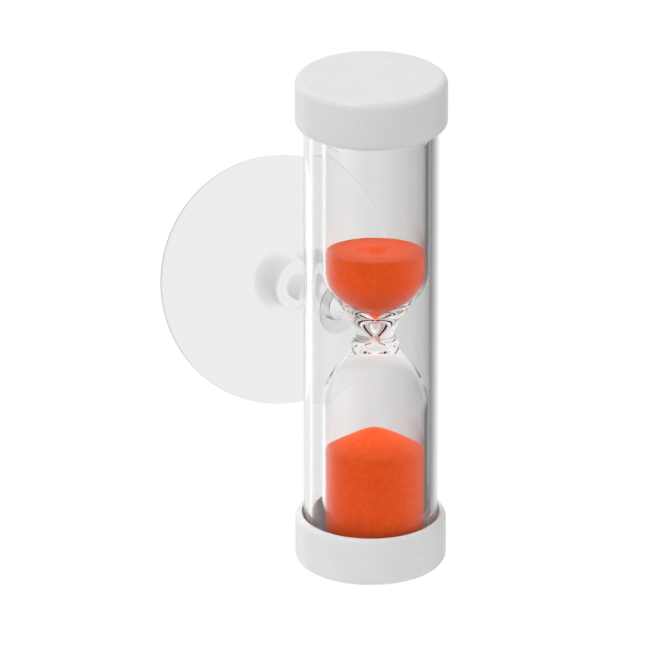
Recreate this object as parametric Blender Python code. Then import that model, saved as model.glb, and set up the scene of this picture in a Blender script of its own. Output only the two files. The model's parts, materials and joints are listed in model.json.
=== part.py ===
"""A pocket sand timer on a suction cup, built as separate pieces.

Frame: metres, +Z up, origin at the middle of the base, on the axis of the tube.
The suction cup stands out of the back of the tube, along +Y.
"""

import math

import bmesh
import bpy
from mathutils import Matrix, Vector

MM = 0.001

# ---- Driving dimensions -------------------------------------------------------------------
CLEARANCE = 0.3 * MM  # between two pieces that touch or fit together

HEIGHT = 85.7 * MM  # over both end caps
TUBE_RADIUS = 11.1 * MM  # outside of the clear tube
TUBE_WALL = 1.3 * MM

CAP_HEIGHT = 8.4 * MM
CAP_WALL = 1.1 * MM
CAP_FLOOR = 1.3 * MM
CAP_EDGE_ROUND = 1.3 * MM  # the edge round the closed end
CAP_RIM_ROUND = 1.0 * MM  # the edge round the open end

VIAL_PLAY = 1.05 * MM  # room between the vial and the tube, all round
VIAL_WALL = 0.53 * MM
VIAL_END_ROUND = 2.0 * MM
VIAL_SIDE_ANGLE = -62.0  # degrees in plan from +X: the side of the tube that the vial leans on
NECK_OUTER_RADIUS = 3.3 * MM  # outside of the vial's waist
THROAT_RADIUS = 0.55 * MM  # the bore that the sand runs through
THROAT_HALF_LENGTH = 0.6 * MM
FILL_HOLE_RADIUS = 2.5 * MM
SHOULDER_HEIGHT = 12.4 * MM  # from the waist to the full width of a bulb

UPPER_SAND_LEVEL = 15.3 * MM  # above the waist
UPPER_SAND_FOOT = 5.5 * MM  # above the waist: the throat below it has run clear
LOWER_SAND_DEPTH = 17.0 * MM  # above the vial's foot, at the glass
HEAP_HEIGHT = 3.6 * MM
DIMPLE_RADIUS = 2.6 * MM
DIMPLE_DEPTH = 0.9 * MM
SAND_TILT = 8.0  # degrees: both sand surfaces settled a little higher towards one side
SAND_TILT_ANGLE = -130.0  # degrees in plan from +X: the higher side

TOP_PAD_HEIGHT = 6.7 * MM
BOTTOM_PAD_HEIGHT = 0.5 * MM
PLUG_HEAD_HEIGHT = 0.5 * MM
PLUG_HEAD_RADIUS = 3.6 * MM

NECK_RADIUS = 2.3 * MM  # of the suction cup's stem
NECK_REACH = 9.5 * MM  # from the tube's outside to the point where the stem flexes
BALL_STEP = 0.7 * MM  # the stem's round end is this much wider than the stem
HEAD_RADIUS = 4.8 * MM  # of the mushroom head inside the tube
HEAD_RIM = 0.5 * MM
HEAD_DOME = 1.3 * MM

DISC_RADIUS = 20.7 * MM
DISC_RIM = 0.7 * MM  # thickness at the lip
DISC_LIP = 1.0 * MM  # width of the flat ring that meets the wall
DISC_REACH = 6.3 * MM  # from the flex point to the plane of the lip
DISC_WALL = 1.5 * MM  # between the stem's seat and the hollow of the bell
BOSS_RADIUS = 5.6 * MM
BOSS_SHOULDER = 3.1 * MM  # along the cup's axis, from the flex point to the foot of the boss
SEAT_WALL = 1.1 * MM
SEAT_ANGLE = 72.0  # degrees that the boss's seat wraps round the stem's ball, from its axis
BEND = 27.2  # degrees between the stem and the cup's axis
BEND_DIRECTION = (0.764, -0.645)  # X and Z parts of the way that the cup leans

LARGE_FACETS = 48
SMALL_FACETS = 32
CORNER_STEPS = 4
SHOULDER_STEPS = 8

# ---- Places worked out from them ----------------------------------------------------------
TUBE_BORE = TUBE_RADIUS - TUBE_WALL
CAP_BORE = TUBE_RADIUS + CLEARANCE
CAP_RADIUS = CAP_BORE + CAP_WALL

BOTTOM_PAD_BASE = CAP_FLOOR + CLEARANCE
PLUG_BASE = BOTTOM_PAD_BASE + BOTTOM_PAD_HEIGHT + CLEARANCE
VIAL_BASE = PLUG_BASE + PLUG_HEAD_HEIGHT + CLEARANCE
TOP_PAD_BASE = HEIGHT - CAP_FLOOR - CLEARANCE - TOP_PAD_HEIGHT
VIAL_TOP = TOP_PAD_BASE - CLEARANCE
WAIST = (VIAL_BASE + VIAL_TOP) / 2
PAD_RADIUS = TUBE_BORE - CLEARANCE

VIAL_RADIUS = TUBE_BORE - VIAL_PLAY
BULB_BORE = VIAL_RADIUS - VIAL_WALL
VIAL_SHIFT = VIAL_PLAY - CLEARANCE
VIAL_PLACE = Vector(
    (
        VIAL_SHIFT * math.cos(math.radians(VIAL_SIDE_ANGLE)),
        VIAL_SHIFT * math.sin(math.radians(VIAL_SIDE_ANGLE)),
        0,
    )
)

STUD_HEIGHT = HEIGHT / 2
HOLE_RADIUS = NECK_RADIUS + CLEARANCE
HEAD_FACE = math.sqrt((TUBE_BORE - CLEARANCE) ** 2 - HEAD_RADIUS**2)
BALL_RADIUS = NECK_RADIUS + BALL_STEP
SEAT_RADIUS = BALL_RADIUS + CLEARANCE
FLEX_POINT = Vector((0, TUBE_RADIUS + NECK_REACH, STUD_HEIGHT))

# A bulb's shoulder swells from the waist as 1 - (1 - share ** rise) ** fullness, where share runs
# from 0 at the waist to 1 at the bulb. Each pair is (rise, fullness).
UPPER_OUTSIDE = (1.8, 2.14)
LOWER_OUTSIDE = (1.8, 3.07)
UPPER_INSIDE = (1.4, 2.2)
LOWER_INSIDE = (1.1, 2.31)


# ---- Tools --------------------------------------------------------------------------------
def clear_scene():
    for obj in list(bpy.data.objects):
        bpy.data.objects.remove(obj)


def material(name, colour, roughness, metallic=0.0, transmission=0.0):
    made = bpy.data.materials.new(name)
    made.use_nodes = True
    shader = made.node_tree.nodes["Principled BSDF"]
    shader.inputs["Base Color"].default_value = (*colour, 1)
    shader.inputs["Roughness"].default_value = roughness
    shader.inputs["Metallic"].default_value = metallic
    shader.inputs["Transmission Weight"].default_value = transmission
    return made


def arc(centre_r, centre_z, radius, start, end, steps=CORNER_STEPS):
    """Points (r, z) on a round stretch of a profile, from one angle to another, in degrees."""
    points = []
    for step in range(steps + 1):
        angle = math.radians(start + (end - start) * step / max(steps, 1))
        points.append((centre_r + radius * math.cos(angle), centre_z + radius * math.sin(angle)))
    return points


def shoulder(curve, waist_radius, bulb_radius, up, start=0.0):
    """The points (r, z) of a bulb's shoulder, outwards from start above the waist. up is 1 or -1."""
    rise, fullness = curve
    points = []
    for step in range(SHOULDER_STEPS + 1):
        share = step / SHOULDER_STEPS
        out = 1 - (1 - share**rise) ** fullness
        height = start + share * (SHOULDER_HEIGHT - start)
        points.append((waist_radius + out * (bulb_radius - waist_radius), WAIST + up * height))
    return points


def inset(points, gap):
    """The same open profile moved sideways by gap, towards the axis where it runs upwards."""
    moved = []
    for index, (r, z) in enumerate(points):
        before = points[max(index - 1, 0)]
        after = points[min(index + 1, len(points) - 1)]
        along = Vector((after[0] - before[0], after[1] - before[1])).normalized()
        moved.append((r - gap * along.y, z + gap * along.x))
    return moved


def bell(first_r, first_z, last_r, last_z, steps=4):
    """Points on a bell's slope: it leaves its middle level and steepens towards the lip."""
    points = []
    for step in range(steps + 1):
        share = step / steps
        points.append((first_r + share * (last_r - first_r), first_z + share**1.3 * (last_z - first_z)))
    return points


def turned(name, outline, facets, finish):
    """One closed solid: a closed outline of (r, z) points spun about the Z axis."""
    build = bmesh.new()
    points = [build.verts.new((r, 0, z)) for r, z in outline]
    for first, second in zip(points, points[1:] + points[:1]):
        if first.co.x > 0 or second.co.x > 0:
            build.edges.new((first, second))
    bmesh.ops.spin(
        build,
        geom=build.verts[:] + build.edges[:],
        cent=(0, 0, 0),
        axis=(0, 0, 1),
        angle=math.tau,
        steps=facets,
        use_duplicate=False,
    )
    bmesh.ops.remove_doubles(build, verts=build.verts[:], dist=1e-7)
    bmesh.ops.recalc_face_normals(build, faces=build.faces[:])
    mesh = bpy.data.meshes.new(name)
    build.to_mesh(mesh)
    build.free()
    mesh.materials.append(finish)
    mesh.shade_smooth()
    mesh.set_sharp_from_angle(angle=math.radians(35))
    piece = bpy.data.objects.new(name, mesh)
    bpy.context.collection.objects.link(piece)
    return piece


def marker(name, place, parent=None):
    """An empty that stands on a joint's axis."""
    empty = bpy.data.objects.new(name, None)
    empty.empty_display_size = 5 * MM
    bpy.context.collection.objects.link(empty)
    empty.location = place
    empty.parent = parent
    return empty


def tilt_surface(piece, lowest):
    """Leans the top surface of a sand body: every point above lowest goes up or down with its place."""
    slope = math.tan(math.radians(SAND_TILT))
    way = math.radians(SAND_TILT_ANGLE)
    for point in piece.data.vertices:
        if point.co.z > lowest:
            point.co.z += slope * (point.co.x * math.cos(way) + point.co.y * math.sin(way))


# ---- The pieces ---------------------------------------------------------------------------
def make_cap(name, finish):
    """An end cap: a cup whose closed end, at z = 0, has a soft edge."""
    outline = [(0, 0)]
    outline += arc(CAP_RADIUS - CAP_EDGE_ROUND, CAP_EDGE_ROUND, CAP_EDGE_ROUND, -90, 0)
    outline += arc(CAP_RADIUS - CAP_RIM_ROUND, CAP_HEIGHT - CAP_RIM_ROUND, CAP_RIM_ROUND, 0, 90, CORNER_STEPS)
    outline += [(CAP_BORE, CAP_HEIGHT), (CAP_BORE, CAP_FLOOR), (0, CAP_FLOOR)]
    return turned(name, outline, LARGE_FACETS, finish)


def make_caps(finish):
    make_cap("bottom_cap", finish)
    top = make_cap("top_cap", finish)
    top.location.z = HEIGHT
    top.rotation_euler.x = math.pi


def make_tube(finish):
    """The clear tube between the two caps, with the hole that the suction cup's stem goes through."""
    low = CAP_FLOOR + CLEARANCE
    high = HEIGHT - CAP_FLOOR - CLEARANCE
    outline = [(TUBE_BORE, low), (TUBE_RADIUS, low), (TUBE_RADIUS, high), (TUBE_BORE, high)]
    tube = turned("outer_tube", outline, LARGE_FACETS, finish)

    cut_length = 3 * TUBE_WALL
    cutter = turned(
        "stud_hole_cutter",
        [(0, 0), (HOLE_RADIUS, 0), (HOLE_RADIUS, cut_length), (0, cut_length)],
        SMALL_FACETS,
        finish,
    )
    cutter.location = (0, TUBE_RADIUS + TUBE_WALL, STUD_HEIGHT)
    cutter.rotation_euler.x = math.pi / 2
    cutter.hide_render = True
    cutter.display_type = "WIRE"
    hole = tube.modifiers.new("stud hole", "BOOLEAN")
    hole.operation = "DIFFERENCE"
    hole.object = cutter


def make_vial(finish):
    """The blown vial: two bulbs, a thick waist with a fine throat, and a fill hole in its foot."""
    end = VIAL_END_ROUND
    inner_end = VIAL_END_ROUND - VIAL_WALL
    outside = [(FILL_HOLE_RADIUS, VIAL_BASE)]
    outside += arc(VIAL_RADIUS - end, VIAL_BASE + end, end, -90, 0)
    outside += shoulder(LOWER_OUTSIDE, NECK_OUTER_RADIUS, VIAL_RADIUS, -1)[::-1]
    outside += shoulder(UPPER_OUTSIDE, NECK_OUTER_RADIUS, VIAL_RADIUS, 1)[1:]
    outside += arc(VIAL_RADIUS - end, VIAL_TOP - end, end, 0, 90)
    outside += [(0, VIAL_TOP)]
    inside = [(0, VIAL_TOP - VIAL_WALL)]
    inside += arc(BULB_BORE - inner_end, VIAL_TOP - end, inner_end, 90, 0)
    inside += shoulder(UPPER_INSIDE, THROAT_RADIUS, BULB_BORE, 1, THROAT_HALF_LENGTH)[::-1]
    inside += shoulder(LOWER_INSIDE, THROAT_RADIUS, BULB_BORE, -1, THROAT_HALF_LENGTH)
    inside += arc(BULB_BORE - inner_end, VIAL_BASE + end, inner_end, 0, -90)
    inside += [(FILL_HOLE_RADIUS, VIAL_BASE + VIAL_WALL)]
    turned("glass_vial", outside + inside, LARGE_FACETS, finish).location = VIAL_PLACE


def make_fill_plug(finish):
    """The plug that shuts the fill hole, with a flange under the glass."""
    shank = FILL_HOLE_RADIUS - CLEARANCE
    flange = PLUG_BASE + PLUG_HEAD_HEIGHT
    top = VIAL_BASE + VIAL_WALL
    outline = [(0, PLUG_BASE), (PLUG_HEAD_RADIUS, PLUG_BASE), (PLUG_HEAD_RADIUS, flange)]
    outline += [(shank, flange), (shank, top), (0, top)]
    turned("fill_plug", outline, SMALL_FACETS, finish).location = VIAL_PLACE


def make_upper_sand(finish):
    """The sand still to run: it follows the funnel, and a dimple has formed over the throat."""
    foot = WAIST + UPPER_SAND_FOOT
    level = WAIST + UPPER_SAND_LEVEL
    sand_radius = BULB_BORE - CLEARANCE
    funnel = shoulder(UPPER_INSIDE, THROAT_RADIUS, BULB_BORE, 1, THROAT_HALF_LENGTH)
    side = [(r, z) for r, z in inset(funnel, CLEARANCE) if z > foot]
    outline = [(0, foot), (side[0][0] - (side[0][1] - foot), foot)] + side + [(sand_radius, level)]
    outline += [(1.6 * DIMPLE_RADIUS, level), (DIMPLE_RADIUS, level - DIMPLE_DEPTH / 5)]
    outline += [(0, level - DIMPLE_DEPTH)]
    sand = turned("upper_sand", outline, SMALL_FACETS, finish)
    tilt_surface(sand, level - 1.5 * DIMPLE_DEPTH)
    sand.location = VIAL_PLACE


def make_lower_sand(finish):
    """The sand that has run: it fills the foot of the vial and ends in a cone."""
    level = VIAL_BASE + LOWER_SAND_DEPTH
    sand_radius = BULB_BORE - CLEARANCE
    round_radius = VIAL_END_ROUND - VIAL_WALL - CLEARANCE
    base = VIAL_BASE + VIAL_WALL + CLEARANCE
    outline = [(0, base)]
    outline += arc(sand_radius - round_radius, base + round_radius, round_radius, -90, 0)
    outline += [(sand_radius, level), (0.12 * sand_radius, level + 0.9 * HEAP_HEIGHT)]
    outline += [(0, level + HEAP_HEIGHT)]
    sand = turned("lower_sand", outline, SMALL_FACETS, finish)
    tilt_surface(sand, level - CLEARANCE)
    sand.location = VIAL_PLACE


def make_pads(finish):
    """The foam discs that hold the vial between the two caps."""
    for name, base, height in (
        ("bottom_pad", BOTTOM_PAD_BASE, BOTTOM_PAD_HEIGHT),
        ("top_pad", TOP_PAD_BASE, TOP_PAD_HEIGHT),
    ):
        outline = [(0, base), (PAD_RADIUS, base), (PAD_RADIUS, base + height), (0, base + height)]
        turned(name, outline, SMALL_FACETS, finish)


def make_cup_stud(finish, parent):
    """The cup's stem: a mushroom head inside the tube, a neck through its wall and a round end."""
    back = HEAD_FACE - TUBE_RADIUS
    flex = NECK_REACH
    ball_start = math.degrees(math.asin(NECK_RADIUS / BALL_RADIUS)) - 90
    outline = [(0, back - HEAD_RIM - HEAD_DOME)]
    outline += [(0.55 * HEAD_RADIUS, back - HEAD_RIM - 0.75 * HEAD_DOME)]
    outline += [(HEAD_RADIUS, back - HEAD_RIM), (HEAD_RADIUS, back), (NECK_RADIUS, back)]
    outline += arc(0, flex, BALL_RADIUS, ball_start, 90, 6)
    stud = turned("cup_stud", outline, SMALL_FACETS, finish)
    stud.parent = parent
    stud.rotation_euler.x = -math.pi / 2


def make_cup_disc(finish, parent):
    """The suction cup: a boss seated round the stem's end, and a shallow bell with a flat lip."""
    seat_end = 90 - SEAT_ANGLE
    outline = arc(0, 0, SEAT_RADIUS, 90, seat_end, 5)
    outline += arc(0, 0, SEAT_RADIUS + SEAT_WALL, seat_end, seat_end, 0)
    outline += [(BOSS_RADIUS, BOSS_SHOULDER)]
    back = DISC_REACH - DISC_RIM
    outline += bell(BOSS_RADIUS, BOSS_SHOULDER, DISC_RADIUS, back)[1:]
    outline += [(DISC_RADIUS, DISC_REACH)]
    hollow_radius = DISC_RADIUS - DISC_LIP
    outline += bell(0, SEAT_RADIUS + DISC_WALL, hollow_radius, DISC_REACH)[::-1]
    disc = turned("cup_disc", outline, LARGE_FACETS, finish)
    disc.parent = parent
    lean_x, lean_z = BEND_DIRECTION
    way = Vector((lean_x, 0, lean_z)).normalized()
    axis = math.cos(math.radians(BEND)) * Vector((0, 1, 0)) + math.sin(math.radians(BEND)) * way
    side = Vector((0, 1, 0)).cross(way).normalized()
    disc.rotation_euler = Matrix((side, axis.cross(side), axis)).transposed().to_euler()


def main():
    clear_scene()
    white_plastic = material("white_plastic", (0.86, 0.86, 0.86), 0.42)
    clear_plastic = material("clear_plastic", (0.95, 0.96, 0.96), 0.04, transmission=1.0)
    glass = material("glass", (0.95, 0.97, 0.97), 0.02, transmission=1.0)
    orange_sand = material("orange_sand", (0.75, 0.08, 0.013), 0.95)
    soft_stopper = material("soft_stopper", (0.7, 0.7, 0.68), 0.6)
    foam = material("foam", (0.85, 0.85, 0.83), 0.95)
    clear_soft = material("clear_soft_plastic", (0.93, 0.94, 0.94), 0.12, transmission=0.9)

    make_caps(white_plastic)
    make_tube(clear_plastic)
    make_vial(glass)
    make_fill_plug(soft_stopper)
    make_upper_sand(orange_sand)
    make_lower_sand(orange_sand)
    make_pads(foam)
    swivel = marker("stud_swivel", (0, TUBE_RADIUS, STUD_HEIGHT))
    flex = marker("neck_flex", FLEX_POINT - Vector((0, TUBE_RADIUS, STUD_HEIGHT)), swivel)
    make_cup_stud(clear_soft, swivel)
    make_cup_disc(clear_soft, flex)


if __name__ == "__main__":
    main()
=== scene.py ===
"""A small sand timer on a suction cup: the finished surfaces, materials and studio.

Every length is in metres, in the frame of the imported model: +Z up, the origin under the middle of the
base, and the suction cup's stem along +Y.
"""

from __future__ import annotations

import json
import logging
import math
from dataclasses import dataclass, field
from enum import Enum

import bmesh
import bpy
import numpy as np
from mathutils import Matrix, Vector


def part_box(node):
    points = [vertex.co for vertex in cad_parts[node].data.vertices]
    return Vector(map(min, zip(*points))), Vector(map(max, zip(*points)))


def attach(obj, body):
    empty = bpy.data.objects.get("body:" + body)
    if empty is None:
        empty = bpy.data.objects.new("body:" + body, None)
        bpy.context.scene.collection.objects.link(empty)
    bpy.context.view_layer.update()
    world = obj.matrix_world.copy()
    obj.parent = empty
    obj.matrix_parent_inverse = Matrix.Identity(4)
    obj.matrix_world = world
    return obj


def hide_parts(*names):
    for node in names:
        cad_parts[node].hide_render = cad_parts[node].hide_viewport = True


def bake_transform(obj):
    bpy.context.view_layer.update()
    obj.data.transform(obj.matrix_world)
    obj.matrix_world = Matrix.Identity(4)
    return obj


MM = 0.001
CLEARANCE = 0.3 * MM  # between pieces that touch or are glued
WELD = 1e-7  # points nearer than this are one
SHARP = 40.0  # degrees: an edge that turns more than this stays sharp
STEM = Vector((0, 1, 0))  # the way that the suction cup's stem leaves the tube

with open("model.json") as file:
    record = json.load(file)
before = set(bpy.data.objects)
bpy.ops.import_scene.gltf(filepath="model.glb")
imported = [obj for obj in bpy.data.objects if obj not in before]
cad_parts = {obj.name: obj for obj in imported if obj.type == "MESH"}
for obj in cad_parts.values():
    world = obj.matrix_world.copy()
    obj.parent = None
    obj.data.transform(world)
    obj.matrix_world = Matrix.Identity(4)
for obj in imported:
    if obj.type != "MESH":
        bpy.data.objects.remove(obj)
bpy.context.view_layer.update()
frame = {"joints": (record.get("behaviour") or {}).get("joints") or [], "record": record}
log = logging.getLogger("sand_timer")


class Body(Enum):
    """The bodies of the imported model."""

    TIMER = "timer"
    STUD = "stud"
    DISC = "disc"


class Slot(Enum):
    """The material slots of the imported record."""

    CAP = "white_plastic"
    TUBE = "clear_plastic"
    VIAL = "vial_glass"
    STOPPER = "stopper"
    SAND = "orange_sand"
    FOAM = "foam"
    CUP = "clear_soft_plastic"


# ---- Surfaces ------------------------------------------------------------------------------
def arc(centre_r: float, centre_z: float, radius: float, start: float, end: float, count: int) -> np.ndarray:
    """Points on a round stretch of a profile.

    Formula: the centre plus radius times (cosine, sine) of an angle that runs evenly from start to end.

    Args:
        centre_r: the centre's distance from the axis.
        centre_z: the centre's height.
        radius: the arc's radius.
        start: the first angle, in degrees.
        end: the last angle, in degrees.
        count: how many points.

    Returns:
        An array of (r, z) rows.
    """
    angle = np.radians(np.linspace(start, end, count))
    return np.column_stack([centre_r + radius * np.cos(angle), centre_z + radius * np.sin(angle)])


def eased(share: np.ndarray) -> np.ndarray:
    """A share that starts and stops gently: three times its square less twice its cube."""
    return 3 * share**2 - 2 * share**3


def evenly(profile: np.ndarray, spacing: float) -> np.ndarray:
    """The same profile with points added on its long straight stretches.

    Formula: each stretch between two points is cut into equal parts no longer than spacing.

    Args:
        profile: (r, z) rows.
        spacing: the longest stretch left.

    Returns:
        An array of (r, z) rows.
    """
    steps = np.linalg.norm(np.diff(profile, axis=0), axis=1)
    counts = np.maximum(np.ceil(steps / spacing).astype(int), 1)
    stretch = np.repeat(np.arange(len(steps)), counts)
    share = (np.arange(counts.sum()) - np.repeat(np.cumsum(counts) - counts, counts)) / counts[stretch]
    points = profile[stretch] + share[:, None] * (profile[stretch + 1] - profile[stretch])
    return np.vstack([points, profile[-1]])


def turned(profile: np.ndarray, around: int) -> np.ndarray:
    """A profile spun about the Z axis.

    Formula: the point at profile row i and angle j is (r_i cos a_j, r_i sin a_j, z_i).

    Args:
        profile: (r, z) rows.
        around: how many points each ring has.

    Returns:
        A grid of points, one row for each ring.
    """
    angle = np.linspace(0, math.tau, around, endpoint=False)
    ring = np.stack([np.cos(angle), np.sin(angle), np.zeros(around)], axis=1)
    return profile[:, 0, None, None] * ring + profile[:, 1, None, None] * np.array([0.0, 0.0, 1.0])


@dataclass
class Skin:
    """Sheets of quads that are gathered and then sewn into one closed mesh."""

    points: list[np.ndarray] = field(default_factory=list)
    quads: list[np.ndarray] = field(default_factory=list)
    count: int = 0

    def add(self, grid: np.ndarray, wrap: bool = True, keep: np.ndarray | None = None) -> None:
        """Adds a grid of points as quads between its rows and columns.

        Args:
            grid: points in rows and columns, and then x, y and z.
            wrap: whether the last column meets the first one.
            keep: which quads to make, as rows and columns of True, or all of them.
        """
        rows, columns = grid.shape[:2]
        index = self.count + np.arange(rows * columns).reshape(rows, columns)
        if wrap:
            index = np.hstack([index, index[:, :1]])
        quads = np.stack([index[:-1, :-1], index[:-1, 1:], index[1:, 1:], index[1:, :-1]], axis=-1)
        chosen = quads if keep is None else quads[keep]
        self.points.append(grid.reshape(-1, 3))
        self.quads.append(chosen.reshape(-1, 4))
        self.count += rows * columns

    def sewn(self, name: str, sharp: float = SHARP) -> bpy.types.Object:
        """Makes the object: doubles are merged, normals point outwards and smooth shading breaks at edges.

        Args:
            name: the object's name.
            sharp: edges that turn more than this many degrees stay sharp.

        Returns:
            The object, at the origin.
        """
        mesh = bpy.data.meshes.new(name)
        mesh.from_pydata(np.vstack(self.points), [], np.vstack(self.quads).tolist())
        build = bmesh.new()
        build.from_mesh(mesh)
        bmesh.ops.remove_doubles(build, verts=build.verts[:], dist=WELD)
        bmesh.ops.recalc_face_normals(build, faces=build.faces[:])
        build.to_mesh(mesh)
        build.free()
        mesh.shade_smooth()
        mesh.set_sharp_from_angle(angle=math.radians(sharp))
        piece = bpy.data.objects.new(name, mesh)
        bpy.context.collection.objects.link(piece)
        return piece


def sewn_turning(name: str, profile: np.ndarray, around: int, place: Vector,
                 sharp: float = SHARP) -> bpy.types.Object:
    """A closed turned body: its profile runs from the axis back to the axis, or closes on itself.

    Args:
        name: the object's name.
        profile: (r, z) rows.
        around: how many points each ring has.
        place: what the finished points are moved by.
        sharp: edges that turn more than this many degrees stay sharp.

    Returns:
        The object, at the origin.
    """
    skin = Skin()
    skin.add(turned(profile, around) + np.array(place))
    return skin.sewn(name, sharp)


# ---- Materials -----------------------------------------------------------------------------
Colour = tuple[float, float, float]


class Bench:
    """A node tree being wired."""

    def __init__(self, tree: bpy.types.NodeTree) -> None:
        """Keeps the tree."""
        self.tree = tree

    def node(self, kind: str, sockets: dict[str, object] | None = None, **settings: object) -> bpy.types.Node:
        """Adds a node, sets its options and feeds its sockets.

        Args:
            kind: the node's type name.
            sockets: what each input gets: another node's output, or a plain value.
            settings: the node's own options.

        Returns:
            The node.
        """
        made = self.tree.nodes.new(kind)
        for name, value in settings.items():
            setattr(made, name, value)
        for name, value in (sockets or {}).items():
            named = [socket for socket in made.inputs if socket.name == name and socket.enabled]
            self.feed(made.inputs[int(name)] if name.isdigit() else named[0], value)
        return made

    def feed(self, socket: bpy.types.NodeSocket, value: object) -> None:
        """Gives a socket a link or a plain value."""
        if isinstance(value, bpy.types.NodeSocket):
            self.tree.links.new(value, socket)
        else:
            socket.default_value = value

    def feed_all(self, node: bpy.types.Node, values: dict[str, object]) -> None:
        """Feeds several of a node's sockets by name."""
        for name, value in values.items():
            self.feed(node.inputs[name], value)

    def group(self, shared: bpy.types.NodeTree, values: dict[str, object]) -> bpy.types.Node:
        """Places a shared node group and feeds it."""
        made = self.node("ShaderNodeGroup", node_tree=shared)
        self.feed_all(made, values)
        return made

    def maths(self, operation: str, *values: object) -> bpy.types.NodeSocket:
        """One step of arithmetic on sockets and plain numbers."""
        sockets = {str(place): value for place, value in enumerate(values)}
        return self.node("ShaderNodeMath", sockets, operation=operation).outputs[0]

    def along(self, way: bpy.types.NodeSocket, axis: Vector) -> bpy.types.NodeSocket:
        """How far a direction points along an axis, from -1 to 1."""
        sockets = {"0": way, "1": tuple(axis)}
        return self.node("ShaderNodeVectorMath", sockets, operation="DOT_PRODUCT").outputs["Value"]

    def ranged(self, value: bpy.types.NodeSocket, low: float, high: float, first: object = 0.0,
               last: object = 1.0) -> bpy.types.NodeSocket:
        """A number that runs from first to last as a value goes from low to high, and then stays."""
        sockets = {"Value": value, "From Min": low, "From Max": high, "To Min": first, "To Max": last}
        return self.node("ShaderNodeMapRange", sockets).outputs[0]

    def between(self, factor: object, first: object, second: object) -> bpy.types.NodeSocket:
        """The number that lies between two others by a factor."""
        sockets = {"Factor": factor, "A": first, "B": second}
        return self.node("ShaderNodeMix", sockets, data_type="FLOAT").outputs[0]

    def noise(self, place: bpy.types.NodeSocket, scale: object, detail: float,
              roughness: float = 0.5) -> bpy.types.NodeSocket:
        """Soft noise, with a scale in features to the metre."""
        sockets = {"Vector": place, "Scale": scale, "Detail": detail, "Roughness": roughness}
        return self.node("ShaderNodeTexNoise", sockets).outputs[0]

    def bump(self, height: bpy.types.NodeSocket, strength: float, depth: float) -> bpy.types.NodeSocket:
        """A normal that follows a height."""
        sockets = {"Strength": strength, "Distance": depth, "Height": height}
        return self.node("ShaderNodeBump", sockets).outputs[0]

    def two_tone(self, factor: bpy.types.NodeSocket, deep: Colour, bright: Colour, low: float = 0.0,
                 high: float = 1.0) -> bpy.types.NodeSocket:
        """A colour that runs from deep to bright as a factor goes from low to high.

        Args:
            factor: the number that it follows.
            deep: the colour at low and under it.
            bright: the colour at high and over it.
            low: where it starts to change.
            high: where it is full.

        Returns:
            The colour, as a socket.
        """
        ramp = self.node("ShaderNodeValToRGB", {"Fac": factor})
        for stop, at, colour in zip(ramp.color_ramp.elements, (low, high), (deep, bright)):
            stop.position, stop.color = at, (*colour, 1)
        return ramp.outputs[0]


def shared_group(name: str, inputs: dict[str, float],
                 outputs: tuple[str, ...]) -> tuple[bpy.types.NodeTree, Bench]:
    """Starts a node group with a Vector input, the named numbers and the named outputs.

    Args:
        name: the group's name.
        inputs: each number's name and usual value.
        outputs: the names of the values it puts out.

    Returns:
        The group and its bench, holding the nodes "in" and "out".
    """
    group = bpy.data.node_groups.new(name, "ShaderNodeTree")
    group.interface.new_socket("Vector", in_out="INPUT", socket_type="NodeSocketVector")
    for label, usual in inputs.items():
        group.interface.new_socket(label, in_out="INPUT", socket_type="NodeSocketFloat").default_value = usual
    for label in outputs:
        group.interface.new_socket(label, in_out="OUTPUT", socket_type="NodeSocketFloat")
    bench = Bench(group)
    bench.node("NodeGroupInput", name="in")
    bench.node("NodeGroupOutput", name="out")
    return group, bench


SMUDGE_EDGES = (0.42, 0.68)  # the noise at which a patch begins and at which it is full


def make_handling_group() -> bpy.types.NodeTree:
    """Faint smudges and rubbed patches: soft noise, stretched to a range of roughness.

    Returns:
        The group, which puts out Roughness between its Low and High inputs.
    """
    group, bench = shared_group("handling", {"Scale": 90.0, "Low": 0.0, "High": 0.1}, ("Roughness",))
    source = group.nodes["in"].outputs
    broad = bench.noise(source["Vector"], source["Scale"], 5.0, 0.62)
    patch = bench.ranged(broad, *SMUDGE_EDGES, source["Low"], source["High"])
    bench.feed_all(group.nodes["out"], {"Roughness": patch})
    return group


def make_grain_group() -> bpy.types.NodeTree:
    """Loose grains: cells that are each a little higher, lower, lighter or darker.

    Returns:
        The group, which puts out Height, rounded over each grain, and Tone, one number for each grain.
    """
    group, bench = shared_group("grains", {"Scale": 4000.0, "Clump": 700.0}, ("Height", "Tone"))
    source = group.nodes["in"].outputs
    cell = bench.node("ShaderNodeTexVoronoi", {"Vector": source["Vector"], "Scale": source["Scale"]}).outputs
    clump = bench.noise(source["Vector"], source["Clump"], 3.0, 0.6)
    height = bench.maths("ADD", bench.maths("SUBTRACT", 1.0, cell["Distance"]), clump)
    grey = bench.node("ShaderNodeSeparateColor", {"Color": cell["Color"]}).outputs[0]
    tone = bench.maths("MULTIPLY", bench.maths("ADD", grey, clump), 0.5)
    bench.feed_all(group.nodes["out"], {"Height": height, "Tone": tone})
    return group


@dataclass
class Groups:
    """The node groups that more than one material uses."""

    handling: bpy.types.NodeTree
    grains: bpy.types.NodeTree


def principled(name: str) -> tuple[bpy.types.Material, Bench, bpy.types.Node, bpy.types.NodeSocket]:
    """A new material with one Principled BSDF.

    Args:
        name: the material's name.

    Returns:
        The material, its bench, the shader node and the Object coordinates.
    """
    material = bpy.data.materials.new(name)
    material.use_nodes = True
    bench = Bench(material.node_tree)
    shader = material.node_tree.nodes["Principled BSDF"]
    return material, bench, shader, bench.node("ShaderNodeTexCoord").outputs["Object"]


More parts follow.
